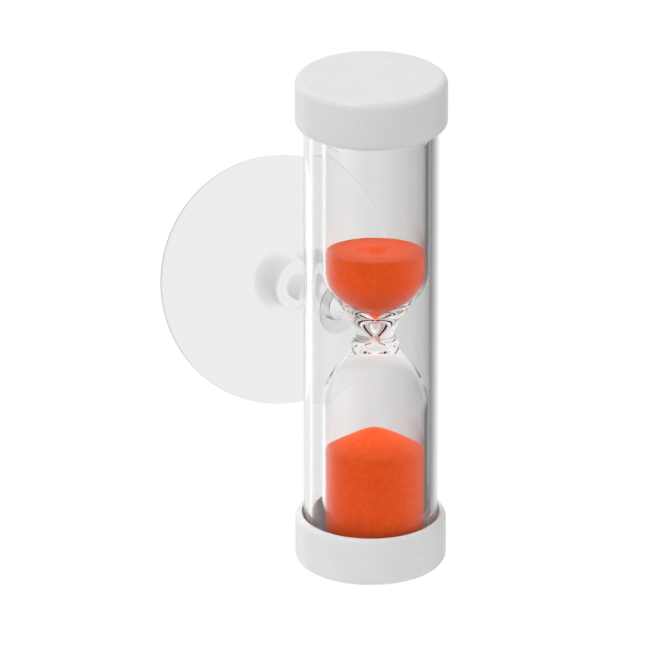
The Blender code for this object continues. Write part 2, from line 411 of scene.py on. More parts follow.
@dataclass(frozen=True)
class SatinPlastic:
    """White moulded plastic with the fine tooth of its mould and a few handled patches.

    low and high are the roughness of the plain and the handled surface, and tooth is the bump's strength.
    The patterns are given in features to the metre.
    """

    name: str
    colour: Colour
    shade: Colour
    low: float
    high: float
    tooth: float
    clouds: float = 160.0
    cloud_edges: tuple[float, float] = (0.3, 0.6)
    smudges: float = 110.0
    teeth: float = 5200.0
    swells: float = 260.0
    swell_share: float = 1.5
    depth: float = 0.03 * MM

    def material(self, groups: Groups) -> bpy.types.Material:
        """Wires the material: mottled white, varied satin and a toothed bump.

        Args:
            groups: the shared node groups.

        Returns:
            The material.
        """
        material, bench, shader, place = principled(self.name)
        white = bench.two_tone(bench.noise(place, self.clouds, 4.0), self.shade, self.colour, *self.cloud_edges)
        rough = bench.group(groups.handling, {
            "Vector": place, "Scale": self.smudges, "Low": self.low, "High": self.high})
        relief = bench.maths("MULTIPLY_ADD", bench.noise(place, self.swells, 1.0), self.swell_share,
                             bench.noise(place, self.teeth, 2.0))
        bench.feed_all(shader, {"Base Color": white, "Roughness": rough.outputs["Roughness"],
                                "Normal": bench.bump(relief, self.tooth, self.depth)})
        return material


@dataclass(frozen=True)
class ClearShell:
    """Clear plastic or glass: plain transmission, faint smudges and the waviness of how it was made.

    clarity is the share of light that passes, mirror scales what the surface reflects, low and high are the
    roughness of the clean and the smudged surface, and wave gives the waviness in features to the metre
    along X, Y and Z, wave_depth deep.
    """

    name: str
    tint: Colour
    ior: float
    clarity: float
    mirror: float
    low: float
    high: float
    wave: tuple[float, float, float]
    wave_depth: float
    smudges: float = 70.0

    def material(self, groups: Groups) -> bpy.types.Material:
        """Wires the material: clear body, varied polish and a slow wave in the surface.

        Args:
            groups: the shared node groups.

        Returns:
            The material.
        """
        material, bench, shader, place = principled(self.name)
        rough = bench.group(groups.handling, {
            "Vector": place, "Scale": self.smudges, "Low": self.low, "High": self.high})
        stretch = bench.node("ShaderNodeMapping", {"Vector": place, "Scale": self.wave}).outputs[0]
        bench.feed_all(shader, {
            "Base Color": (*self.tint, 1), "IOR": self.ior, "Transmission Weight": self.clarity,
            "Specular Tint": (self.mirror, self.mirror, self.mirror, 1),
            "Roughness": rough.outputs["Roughness"],
            "Normal": bench.bump(bench.noise(stretch, 1.0, 2.0), 1.0, self.wave_depth)})
        return material


@dataclass(frozen=True)
class GrainyDull:
    """Dull matter made of small cells or grains, such as dyed sand, foam or a soft stopper.

    Each cell has its own tone between deep and bright, and a bump that rounds it. The cells and the clumps
    that they lie in are given by how many fit in a metre.
    """

    name: str
    deep: Colour
    bright: Colour
    cells: float
    clumps: float
    relief: float
    depth: float
    roughness: float = 0.9
    tone_edges: tuple[float, float] = (0.0, 1.0)
    dust: float = 0.0
    shine: float = 0.5

    def material(self, groups: Groups) -> bpy.types.Material:
        """Wires the material: a tone for each cell and a bump that rounds it.

        Args:
            groups: the shared node groups.

        Returns:
            The material.
        """
        material, bench, shader, place = principled(self.name)
        grains = bench.group(groups.grains, {
            "Vector": place, "Scale": self.cells, "Clump": self.clumps}).outputs
        bench.feed_all(shader, {
            "Base Color": bench.two_tone(grains["Tone"], self.deep, self.bright, *self.tone_edges),
            "Roughness": self.roughness, "Sheen Weight": self.dust, "Specular IOR Level": self.shine,
            "Normal": bench.bump(grains["Height"], self.relief, self.depth)})
        return material


WHITE_CAP = SatinPlastic(
    "white_cap_plastic", colour=(0.86, 0.86, 0.86), shade=(0.84, 0.84, 0.84), low=0.26, high=0.34, tooth=0.2)
TUBE_PLASTIC = ClearShell(
    "tube_plastic", tint=(0.99, 0.99, 0.99), ior=1.49, clarity=1.0, mirror=0.2, low=0.0, high=0.035,
    wave=(420.0, 420.0, 9.0), wave_depth=0.004 * MM)
BLOWN_GLASS = ClearShell(
    "blown_glass", tint=(0.99, 0.99, 0.99), ior=1.47, clarity=1.0, mirror=0.05, low=0.0, high=0.02,
    wave=(90.0, 90.0, 30.0), wave_depth=0.01 * MM)
CUP_VINYL = ClearShell(
    "cup_vinyl", tint=(0.97, 0.97, 0.97), ior=1.2, clarity=1.0, mirror=1.0, low=0.2, high=0.24,
    wave=(150.0, 150.0, 150.0), wave_depth=0.01 * MM)
ORANGE_SAND = GrainyDull(
    "orange_sand", deep=(0.86, 0.072, 0.007), bright=(0.95, 0.122, 0.016), cells=5200.0, clumps=900.0,
    relief=0.35, depth=0.12 * MM, roughness=0.92, tone_edges=(0.25, 0.75), dust=0.08, shine=0.15)
PAD_FOAM = GrainyDull(
    "pad_foam", deep=(0.6, 0.6, 0.58), bright=(0.86, 0.86, 0.84), cells=2600.0, clumps=650.0, relief=0.8,
    depth=0.2 * MM)
PALE_STOPPER = GrainyDull(
    "pale_stopper", deep=(0.62, 0.62, 0.6), bright=(0.72, 0.72, 0.7), cells=5200.0, clumps=1300.0, relief=0.2,
    depth=0.2 * MM)


# ---- Finishing a piece ---------------------------------------------------------------------
Finish = SatinPlastic | ClearShell | GrainyDull


@dataclass
class Workshop:
    """What each sub-assembly needs to finish its pieces."""

    groups: Groups
    materials: dict[str, bpy.types.Material] = field(default_factory=dict)

    def dress(self, piece: bpy.types.Object, finish: Finish) -> None:
        """Gives a piece its material.

        Args:
            piece: the finished mesh object.
            finish: one of the finishes above.
        """
        if finish.name not in self.materials:
            self.materials[finish.name] = finish.material(self.groups)
        piece.data.materials.append(self.materials[finish.name])
        log.info("%s: %d faces", piece.name, len(piece.data.polygons))

    def mount(self, piece: bpy.types.Object, body: Body, *nodes: str) -> None:
        """Makes a piece ride on a body and stand for its CAD nodes."""
        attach(piece, body.value)
        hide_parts(*nodes)


# ---- Sub-assemblies ------------------------------------------------------------------------
def half_width(node: str) -> float:
    """Half of a node's width along X."""
    low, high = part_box(node)
    return (high.x - low.x) / 2


def on_axis(node: str) -> Vector:
    """The place in plan of a node's middle."""
    low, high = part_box(node)
    return Vector(((low.x + high.x) / 2, (low.y + high.y) / 2, 0))


@dataclass
class EndCaps:
    """The two white caps. Each is a cup with a soft edge round its closed end."""

    floor: float = 1.3 * MM  # thickness of the closed end
    edge_round: float = 1.3 * MM
    rim_round: float = 0.96 * MM
    inner_round: float = 0.12 * MM
    edge_steps: int = 16
    rim_steps: int = 8
    inner_steps: int = 5
    spacing: float = 0.8 * MM
    around: int = 192

    def profile(self, radius: float, bore: float, height: float) -> np.ndarray:
        """The section of one cap, closed end at z = 0.

        Formula: straight stretches joined by quarter circles at the closed end, the rim and the bore's mouth.

        Args:
            radius: the cap's outside.
            bore: the inside, which the tube enters.
            height: from the closed end to the rim.

        Returns:
            (r, z) rows from the axis outside to the axis inside.
        """
        edge, rim, inner = self.edge_round, self.rim_round, self.inner_round
        outline = np.vstack([
            [(0.0, 0.0)],
            arc(radius - edge, edge, edge, -90, 0, self.edge_steps),
            arc(radius - rim, height - rim, rim, 0, 90, self.rim_steps),
            arc(bore + inner, height - inner, inner, 90, 180, self.inner_steps),
            [(bore, self.floor), (0.0, self.floor)],
        ])
        return evenly(outline, self.spacing)

    def build(self, shop: Workshop) -> None:
        """Makes both caps from the sizes of their CAD nodes.

        Args:
            shop: the groups and the materials that the pieces share.
        """
        bore = half_width("outer_tube") + CLEARANCE
        for node, up in (("bottom_cap", 1.0), ("top_cap", -1.0)):
            low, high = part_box(node)
            section = self.profile(half_width(node), bore, high.z - low.z)
            section[:, 1] = (low.z if up > 0 else high.z) + up * section[:, 1]
            cap = sewn_turning(f"{node}_shell", section, self.around, Vector())
            shop.dress(cap, WHITE_CAP)
            shop.mount(cap, Body.TIMER, node)


@dataclass
class ClearTube:
    """The clear tube, with the round hole in its back for the suction cup's neck."""

    wall: float = 1.3 * MM
    hole_radius: float = 2.6 * MM
    around: int = 256
    window: int = 14  # steps from the hole's middle to the edge of its square window
    rings: int = 6  # between the hole and the window
    rows: int = 24  # above the window, and as many below it

    def sheet(self, skin: Skin, radius: float, low: float, high: float, hole: float) -> np.ndarray:
        """One side of the wall, with its round opening.

        Formula: in the unrolled wall, each ring of the patch round the hole is a share of the way from the
        hole's circle to a square window in the grid; a point at angle t from +Y is (R sin t, R cos t, z).

        Args:
            skin: where the sheets go.
            radius: of this side of the wall.
            low: the tube's foot.
            high: the tube's top.
            hole: the height of the hole's middle.

        Returns:
            The ring of points on the hole's edge.
        """
        step = math.tau / self.around
        half = self.window * step * radius
        angle = (np.arange(self.around) - self.around // 2) * step
        height = np.concatenate([
            np.linspace(low, hole - half, self.rows)[:-1],
            np.linspace(hole - half, hole + half, 2 * self.window + 1),
            np.linspace(hole + half, high, self.rows)[1:],
        ])
        t, z = np.meshgrid(angle, height)
        keep = np.ones((len(height) - 1, self.around), bool)
        middle, below = self.around // 2, self.rows - 1
        keep[below:below + 2 * self.window, middle - self.window:middle + self.window] = False
        skin.add(np.stack([radius * np.sin(t), radius * np.cos(t), z], axis=-1), keep=keep)

        run = np.arange(-self.window, self.window)
        side = np.full(2 * self.window, self.window)
        across = np.concatenate([run, side, -run, -side]) * step
        up = np.concatenate([-side, run, side, -run]) * half / self.window
        turn = np.arctan2(up, across * radius)
        circle_across = np.arcsin(self.hole_radius * np.cos(turn) / radius)
        circle_up = self.hole_radius * np.sin(turn)
        share = np.linspace(0, 1, self.rings)[:, None]
        t = circle_across + share * (across - circle_across)
        z = hole + circle_up + share * (up - circle_up)
        patch = np.stack([radius * np.sin(t), radius * np.cos(t), z], axis=-1)
        skin.add(patch)
        return patch[0]

    def build(self, shop: Workshop) -> None:
        """Makes the tube: both sides of its wall, its two ends and the hole's edge.

        Args:
            shop: the groups and the materials that the pieces share.
        """
        low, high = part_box("outer_tube")
        hole = (low.z + high.z) / 2
        radius = half_width("outer_tube")
        skin = Skin()
        outer = self.sheet(skin, radius, low.z, high.z, hole)
        inner = self.sheet(skin, radius - self.wall, low.z, high.z, hole)
        skin.add(np.stack([outer, inner]))
        angle = (np.arange(self.around) - self.around // 2) * math.tau / self.around
        ring = np.stack([np.sin(angle), np.cos(angle), np.zeros(self.around)], axis=-1)
        for end in (low.z, high.z):
            rise = np.array([0.0, 0.0, end])
            skin.add(np.stack([radius * ring + rise, (radius - self.wall) * ring + rise]))
        tube = skin.sewn("clear_tube")
        shop.dress(tube, TUBE_PLASTIC)
        shop.mount(tube, Body.TIMER, "outer_tube")


@dataclass(frozen=True)
class Swell:
    """How a bulb opens out: share of the width against share of the height is 1 - (1 - s^rise)^fullness."""

    rise: float
    fullness: float

    def out(self, share: np.ndarray) -> np.ndarray:
        """The share of the width at each share of the height."""
        return 1 - (1 - share**self.rise) ** self.fullness


@dataclass
class Vial:
    """The blown vial, its stopper and the sand in it."""

    wall: float = 0.53 * MM
    end_round: float = 2.0 * MM
    neck_radius: float = 3.3 * MM
    throat_radius: float = 0.55 * MM
    throat_half: float = 0.6 * MM
    shoulder: float = 12.4 * MM
    fill_hole: float = 2.5 * MM
    bead_height: float = 0.45 * MM
    bead_drop: float = 1.1 * MM
    bead_width: float = 0.55 * MM
    sand_gap: float = 0.02 * MM
    sand_level: float = 15.3 * MM
    sand_foot: float = 5.0 * MM
    sand_depth: float = 17.0 * MM
    heap: float = 3.6 * MM
    heap_tip: float = 1.6 * MM
    dimple_radius: float = 2.6 * MM
    dimple_depth: float = 0.9 * MM
    dimple_fall: float = 1.6  # how fast the dimple levels out past its radius
    tilt: float = 8.0
    tilt_angle: float = -130.0  # degrees in plan from +X: the higher side
    tilt_fade: float = 3.0 * MM  # how far below the surface the sand still leans
    ripple: float = 0.035 * MM
    stopper_play: float = 0.05 * MM
    stopper_soft: float = 0.15 * MM
    stopper_spacing: float = 0.4 * MM
    shoulder_steps: int = 72
    shoulder_crowding: float = 1.25  # over 1 crowds the rings towards the waist
    end_steps: int = 16
    soft_steps: int = 6
    surface_steps: int = 60
    glass_spacing: float = 0.9 * MM
    sand_spacing: float = 0.25 * MM
    sand_sharp: float = 60.0
    around: int = 192
    upper_outside: Swell = Swell(1.8, 2.14)
    lower_outside: Swell = Swell(1.8, 3.07)
    upper_inside: Swell = Swell(1.4, 2.2)
    lower_inside: Swell = Swell(1.1, 2.31)

    def __post_init__(self) -> None:
        """Reads the vial's place and outer sizes from its CAD node."""
        low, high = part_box("glass_vial")
        self.base, self.top = low.z, high.z
        self.waist = (low.z + high.z) / 2
        self.radius = half_width("glass_vial")
        self.bore = self.radius - self.wall
        self.place = on_axis("glass_vial")

    def opening(self, swell: Swell, neck: float, bulb: float, up: float, start: float = 0.0) -> np.ndarray:
        """One side of a bulb's shoulder, from the waist outwards.

        Formula: the radius goes from neck to bulb as the swell's curve of the height above start.

        Args:
            swell: the curve.
            neck: the radius at the waist.
            bulb: the radius of the bulb.
            up: 1 for the upper bulb, -1 for the lower one.
            start: how far from the waist it starts.

        Returns:
            (r, z) rows.
        """
        share = np.linspace(0, 1, self.shoulder_steps) ** self.shoulder_crowding
        radius = neck + swell.out(share) * (bulb - neck)
        return np.column_stack([radius, self.waist + up * (start + share * (self.shoulder - start))])

    def outside(self) -> np.ndarray:
        """The outer section of the glass, from the fill hole to the top.

        Formula: two swelling shoulders back to back, rounded ends, and below the waist a bead that adds the
        bell curve of the distance from its ridge.

        Returns:
            (r, z) rows, from the fill hole's edge to the axis.
        """
        end = self.end_round
        lower = self.opening(self.lower_outside, self.neck_radius, self.radius, -1)[::-1]
        drop = (self.waist - lower[:, 1] - self.bead_drop) / self.bead_width
        lower[:, 0] += self.bead_height * np.exp(-drop**2)
        return np.vstack([
            [(self.fill_hole, self.base)],
            arc(self.radius - end, self.base + end, end, -90, 0, self.end_steps),
            lower,
            self.opening(self.upper_outside, self.neck_radius, self.radius, 1)[1:],
            arc(self.radius - end, self.top - end, end, 0, 90, self.end_steps),
            [(0.0, self.top)],
        ])

    def inside(self) -> np.ndarray:
        """The inner section of the glass, through the throat.

        Returns:
            (r, z) rows, from the axis at the top to the fill hole's edge.
        """
        end = self.end_round
        inner = end - self.wall
        return np.vstack([
            [(0.0, self.top - self.wall)],
            arc(self.bore - inner, self.top - end, inner, 90, 0, self.end_steps),
            self.opening(self.upper_inside, self.throat_radius, self.bore, 1, self.throat_half)[::-1],
            self.opening(self.lower_inside, self.throat_radius, self.bore, -1, self.throat_half),
            arc(self.bore - inner, self.base + end, inner, 0, -90, self.end_steps),
            [(self.fill_hole, self.base + self.wall)],
        ])

    def build_glass(self, shop: Workshop) -> None:
        """Makes the glass: the outer and the inner section, closed at the fill hole.

        Args:
            shop: the groups and the materials that the pieces share.
        """
        section = np.vstack([self.outside(), self.inside()])
        closed = evenly(np.vstack([section, section[:1]]), self.glass_spacing)
        glass = sewn_turning("blown_vial", closed, self.around, self.place)
        shop.dress(glass, BLOWN_GLASS)
        shop.mount(glass, Body.TIMER, "glass_vial")

    def build_stopper(self, shop: Workshop) -> None:
        """Makes the stopper in the vial's foot: a shank, a flange and softened edges.

        Args:
            shop: the groups and the materials that the pieces share.
        """
        low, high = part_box("fill_plug")
        flange = half_width("fill_plug")
        shank = self.fill_hole - self.stopper_play
        seat = self.base - self.stopper_play
        soft, steps = self.stopper_soft, self.soft_steps
        section = np.vstack([
            [(0.0, low.z)],
            arc(flange - soft, low.z + soft, soft, -90, 0, steps),
            arc(flange - soft, seat - soft, soft, 0, 90, steps),
            [(shank, seat)],
            arc(shank - soft, high.z - soft, soft, 0, 90, steps),
            [(0.0, high.z)],
        ])
        points = evenly(section, self.stopper_spacing)
        stopper = sewn_turning("vial_stopper", points, self.around // 2, self.place)
        shop.dress(stopper, PALE_STOPPER)
        shop.mount(stopper, Body.TIMER, "fill_plug")

    def settled(self, grid: np.ndarray, level: float) -> np.ndarray:
        """Leans a sand surface and makes it slightly uneven.

        Formula: z grows by the slope times the distance towards the higher side, and by two crossing pairs of
        waves under a tenth of a millimetre high, about 8 mm and 4 mm long. Both fade out below the surface.

        Args:
            grid: the sand's points.
            level: the lowest height of its surface.

        Returns:
            The moved points.
        """
        x, y, z = grid[..., 0], grid[..., 1], grid[..., 2]
        way = math.radians(self.tilt_angle)
        slope = math.tan(math.radians(self.tilt))
        lean = slope * (x * math.cos(way) + y * math.sin(way))
        long_waves = np.sin(900 * x + 2.0) * np.sin(760 * y)
        short_waves = 0.6 * np.sin(1900 * y + 1.0) * np.cos(1500 * x + 0.7)
        fade = np.clip((z - level + self.tilt_fade) / self.tilt_fade, 0, 1)
        moved = grid.copy()
        moved[..., 2] = z + fade * (lean + self.ripple * (long_waves + short_waves))
        return moved

    def build_sand(self, shop: Workshop, node: str, section: np.ndarray, level: float) -> None:
        """Makes one body of sand.

        Args:
            shop: the groups and the materials that the pieces share.
            node: the CAD node that it stands for.
            section: (r, z) rows from the axis at its foot to the axis at its surface.
            level: the height of its surface at the glass.
        """
        grid = self.settled(turned(evenly(section, self.sand_spacing), self.around), level)
        skin = Skin()
        skin.add(grid + np.array(self.place))
        sand = skin.sewn(f"{node}_grains", self.sand_sharp)
        shop.dress(sand, ORANGE_SAND)
        shop.mount(sand, Body.TIMER, node)

    def upper_section(self) -> np.ndarray:
        """The section of the sand still to run.

        Formula: the funnel moved in by the gap; on top, a level ring and a dimple shaped as a bell curve.

        Returns:
            (r, z) rows, from the axis at its foot to the axis at its surface.
        """
        foot, level = self.waist + self.sand_foot, self.waist + self.sand_level
        funnel = self.opening(self.upper_inside, self.throat_radius, self.bore, 1, self.throat_half)
        funnel[:, 0] -= self.sand_gap
        wall = funnel[funnel[:, 1] > foot]
        edge = self.bore - self.sand_gap
        r = np.linspace(edge, 0, self.surface_steps)
        dimple = np.exp(-self.dimple_fall * (r / self.dimple_radius) ** 2)
        surface = np.column_stack([r, level - self.dimple_depth * dimple])
        return np.vstack([[(0.0, foot - CLEARANCE)], wall, surface])

    def lower_section(self) -> np.ndarray:
        """The section of the sand that has run.

        Formula: the foot of the bulb moved in by the gap; on top, a cone whose tip is rounded as the root
        of a square plus a small constant.

        Returns:
            (r, z) rows, from the axis at its foot to the axis at its surface.
        """
        gap = self.sand_gap
        foot, level = self.base + self.wall + gap, self.base + self.sand_depth
        edge = self.bore - gap
        corner = self.end_round - self.wall - gap
        r = np.linspace(edge, 0, self.surface_steps)
        rounded = np.sqrt(r**2 + self.heap_tip**2)
        steep = self.heap / (np.sqrt(edge**2 + self.heap_tip**2) - self.heap_tip)
        surface = np.column_stack([r, level + steep * (rounded[0] - rounded)])
        turn = arc(edge - corner, foot + corner, corner, -90, 0, self.end_steps)
        return np.vstack([[(0.0, foot)], turn, surface])

    def build(self, shop: Workshop) -> None:
        """Makes the glass, the stopper and both bodies of sand.

        Args:
            shop: the groups and the materials that the pieces share.
        """
        self.build_glass(shop)
        self.build_stopper(shop)
        self.build_sand(shop, "upper_sand", self.upper_section(), self.waist + self.sand_level)
        self.build_sand(shop, "lower_sand", self.lower_section(), self.base + self.sand_depth)


@dataclass
class Pads:
    """The two foam discs that hold the vial between the caps."""

    soft: float = 0.25 * MM
    bulge: float = 0.18 * MM
    soft_steps: int = 6
    spacing: float = 0.5 * MM
    sharp: float = 60.0
    around: int = 96

    def build(self, shop: Workshop) -> None:
        """Makes both pads: discs with soft edges and a side that swells a little.

        Formula: the side's radius is the disc's less the swell's parabola towards each face.

        Args:
            shop: the groups and the materials that the pieces share.
        """
        for node in ("bottom_pad", "top_pad"):
            low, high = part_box(node)
            radius = half_width(node)
            section = evenly(np.vstack([
                [(0.0, low.z)],
                arc(radius - self.soft, low.z + self.soft, self.soft, -90, 0, self.soft_steps),
                arc(radius - self.soft, high.z - self.soft, self.soft, 0, 90, self.soft_steps),
                [(0.0, high.z)],
            ]), self.spacing)
            share = (section[:, 1] - low.z) / (high.z - low.z)
            section[:, 0] = np.maximum(section[:, 0] - self.bulge * (2 * share - 1) ** 2, 0)
            section[[0, -1], 0] = 0
            pad = sewn_turning(f"{node}_foam", section, self.around, Vector(), self.sharp)
            shop.dress(pad, PAD_FOAM)
            shop.mount(pad, Body.TIMER, node)


@dataclass
class SuctionCup:
    """The suction cup, one clear soft moulding: head, neck, boss and bell."""

    head_depth: float = 1.8 * MM  # from the middle of the head's dome to its flat side
    head_rim: float = 0.5 * MM
    dome_width: float = 0.93  # the dome's share of the head's radius
    dome_rise: float = 1.15 * MM
    head_soft: float = 0.25 * MM
    neck_radius: float = 2.3 * MM
    neck_fillet: float = 0.3 * MM
    collar_radius: float = 4.1 * MM
    collar_back: float = 1.6 * MM
    collar_round: float = 0.4 * MM
    boss_radius: float = 5.6 * MM
    boss_shoulder: float = 3.1 * MM
    boss_flare: float = 2.4
    bell_flare: float = 1.3
    reach: float = 6.3 * MM
    rim: float = 0.7 * MM
    rim_round: float = 0.3 * MM
    rim_step: float = 0.15 * MM  # from the bell's back in to the rim's widest ring
    lip: float = 1.0 * MM
    hollow: float = 1.5 * MM
    inset: float = 0.998  # keeps the lip inside the CAD node's own edge
    bend_length: float = 5.0 * MM
    walk: tuple[float, float, int] = (-20.0 * MM, 10.0 * MM, 3001)  # the centre line's start, end and points
    follows_stud: float = 0.8  # of the bend's length, back from the flex point
    follows_disc: float = 0.6  # of the bend's length, on from the flex point
    dome_steps: int = 14
    bell_steps: int = 40
    spacing: float = 0.5 * MM
    sharp: float = 50.0
    around: int = 160

    def __post_init__(self) -> None:
        """Reads the stem's flex point, its axis and the cup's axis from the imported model."""
        flex = next(joint for joint in frame["joints"] if joint["name"] == "neck_flex")
        lip = next(mount for mount in frame["record"]["mounts"] if mount["name"] == "cup_lip")
        self.flex = Vector(flex["pos_m"])
        self.axis = Vector(lip["axis"]).normalized()
        self.side = STEM.cross(self.axis).normalized()
        low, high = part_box("cup_stud")
        self.head_radius = (high.x - low.x) / 2
        self.head_back = low.y - self.flex.y
        low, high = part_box("cup_disc")
        self.disc_radius = self.inset * (high.x - low.x) / 2 / math.sqrt(1 - self.axis.x**2)

    def section(self) -> np.ndarray:
        """The cup's section along its bent centre line, measured from the flex point.

        Formula: straight stretches and arcs for the head, the collar and the rim; the boss widens, and each
        face of the bell rises, as a power of the share of the way along it.

        Returns:
            (radius, distance along the centre line) rows, from the head's dome to the middle of the hollow.
        """
        face = self.head_back + self.head_depth
        head, neck, collar = self.head_radius, self.neck_radius, self.collar_radius
        soft, fillet, turn, rim = self.head_soft, self.neck_fillet, self.collar_round, self.rim_round
        back, foot = self.reach - self.rim, self.reach - self.hollow
        outer, inner = self.disc_radius - rim, self.disc_radius - self.lip
        boss_start = turn - self.collar_back
        dome, bell = (np.linspace(0, 1, steps) for steps in (self.dome_steps, self.bell_steps))
        dome, flare = dome[:-1], dome[1:-1]
        return np.vstack([
            np.column_stack([self.dome_width * head * dome, self.head_back + self.dome_rise * dome**2]),
            arc(head - soft, face - self.head_rim + soft, soft, -60, 0, 5),
            arc(head - soft, face - soft, soft, 0, 90, 5),
            arc(neck + fillet, face + fillet, fillet, -90, -180, 5),
            arc(neck + turn, -self.collar_back - turn, turn, 180, 90, 5),
            arc(collar - turn, boss_start, turn, -90, 0, 6),
            np.column_stack([
                collar + (self.boss_radius - collar) * flare**self.boss_flare,
                boss_start + (self.boss_shoulder - boss_start) * flare,
            ]),
            np.column_stack([
                self.boss_radius + bell * (self.disc_radius - self.boss_radius - self.rim_step),
                self.boss_shoulder + bell**self.bell_flare * (back - self.boss_shoulder),
            ]),
            arc(outer, back + rim, rim, -60, 0, 6),
            arc(outer, self.reach - rim, rim, 0, 90, 8),
            np.column_stack([inner * (1 - bell), foot + (1 - bell) ** self.bell_flare * (self.reach - foot)]),
        ])

    def centre_line(self, along: np.ndarray) -> tuple[np.ndarray, np.ndarray]:
        """The cup's centre line: straight along +Y, a smooth bend at the flex point, then straight.

        Formula: the direction turns from the stem's to the cup's by the share, eased at both ends, of the way
        through the bend; the place is the running sum of short steps in that direction, set so that the
        straight stretches point at the flex point.

        Args:
            along: distances from the flex point, rising or falling.

        Returns:
            The points and the unit directions.
        """
        lean = np.array(self.side.cross(STEM))
        reach = np.linspace(*self.walk)
        share = eased(np.clip(reach / self.bend_length + 0.5, 0, 1))
        angle = math.acos(self.axis.y) * share
        heading = np.outer(np.cos(angle), np.array(STEM)) + np.outer(np.sin(angle), lean)
        walked = np.cumsum(heading, axis=0) * (reach[1] - reach[0])
        place = np.array(self.flex + STEM * reach[0]) + walked - walked[0]
        miss = np.array(self.flex + self.axis * reach[-1]) - place[-1]
        place += np.outer(share, miss)
        points = np.stack([np.interp(along, reach, place[:, k]) for k in range(3)], axis=-1)
        headings = np.stack([np.interp(along, reach, heading[:, k]) for k in range(3)], axis=-1)
        return points, headings / np.linalg.norm(headings, axis=1, keepdims=True)

    def build(self, shop: Workshop) -> None:
        """Makes the cup: its section carried round the centre line, and bent between stem and bell.

        Args:
            shop: the groups and the materials that the pieces share.
        """
        section = evenly(self.section(), self.spacing)
        points, headings = self.centre_line(section[:, 1])
        side = np.array(self.side)
        other = np.cross(headings, side)
        angle = np.linspace(0, math.tau, self.around, endpoint=False)
        ring = np.cos(angle)[:, None] * side + np.sin(angle)[:, None] * other[:, None, :]
        skin = Skin()
        skin.add(points[:, None, :] + section[:, 0, None, None] * ring)
        cup = skin.sewn("suction_cup", self.sharp)
        shop.dress(cup, CUP_VINYL)
        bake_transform(cup)
        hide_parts("cup_stud", "cup_disc")


# ---- Studio --------------------------------------------------------------------------------
@dataclass(frozen=True)
class Shade:
    """A row of brightness stops along one measure, such as an angle or a distance."""

    low: float
    high: float
    stops: tuple[tuple[float, float], ...]

    def over(self, bench: Bench, measure: bpy.types.NodeSocket) -> bpy.types.NodeSocket:
        """Reads the brightness at a measure.

        Args:
            bench: the tree's bench.
            measure: the number that runs from low to high.

        Returns:
            The brightness, as a socket.
        """
        ramp = bench.node("ShaderNodeValToRGB", {"Fac": bench.ranged(measure, self.low, self.high)})
        ramp.color_ramp.interpolation = "EASE"
        stops = ramp.color_ramp.elements
        for _ in range(len(self.stops) - len(stops)):
            stops.new(0.5)
        for stop, (at, grey) in zip(stops, self.stops):
            stop.position = (at - self.low) / (self.high - self.low)
            stop.color = (grey, grey, grey, 1)
        return ramp.outputs[0]


@dataclass(frozen=True)
class Glow:
    """Light that changes evenly with direction: its level, and what each direction adds."""

    level: float
    above: float
    left: float
    behind: float

    def over(self, bench: Bench, up: bpy.types.NodeSocket, right: bpy.types.NodeSocket,
             ahead: bpy.types.NodeSocket) -> bpy.types.NodeSocket:
        """The brightness: the level plus each direction's share of its addition.

        Args:
            bench: the tree's bench.
            up: how far the direction points up.
            right: how far it points right.
            ahead: how far it points away from the camera.

        Returns:
            The brightness, as a socket.
        """
        total = self.level
        for share, amount in ((up, self.above), (right, -self.left), (ahead, self.behind)):
            total = bench.maths("MULTIPLY_ADD", share, amount, total)
        return total


